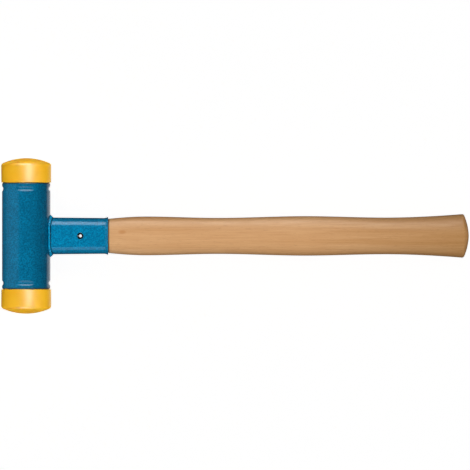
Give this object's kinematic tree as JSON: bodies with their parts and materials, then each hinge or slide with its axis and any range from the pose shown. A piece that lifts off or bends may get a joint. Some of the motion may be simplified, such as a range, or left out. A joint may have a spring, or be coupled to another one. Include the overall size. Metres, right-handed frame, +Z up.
{
  "type": "soft face hammer",
  "caption": "Dead-blow soft face hammer: crimped steel tube head with domed polyurethane faces, loose steel shot inside, a welded flat-oval socket and a pinned hardwood handle.",
  "frame": {"origin": "midway along the hammer, on the bench that its striking faces lie on, under the handle's axis", "axes": "+X along the handle from the head to the butt, +Y along the head towards the upper face, +Z up from the bench through the flat front of the socket"},
  "size_m": [0.3724, 0.124, 0.04],
  "materials": {
    "blue_coat": "structured powder coat, semi-gloss",
    "yellow_polyurethane": "cast polyurethane, satin",
    "hickory": "clear varnish over straight grain",
    "bare_steel": "dull, lightly oiled"
  },
  "bodies": {
    "hammer": {"head_tube": "blue_coat", "handle_socket": "blue_coat", "socket_weld": "blue_coat", "upper_face": "yellow_polyurethane", "lower_face": "yellow_polyurethane", "upper_impact_disc": "bare_steel", "lower_impact_disc": "bare_steel", "spring_pin": "bare_steel", "handle": "hickory"},
    "shot_charge": {"steel_shot": "bare_steel"}
  },
  "joints": [
    {"name": "shot_slide", "type": "slide", "parent": "hammer", "child": "shot_charge", "axis": [0, 1, 0], "range_m": [0, 0.0129]}
  ]
}
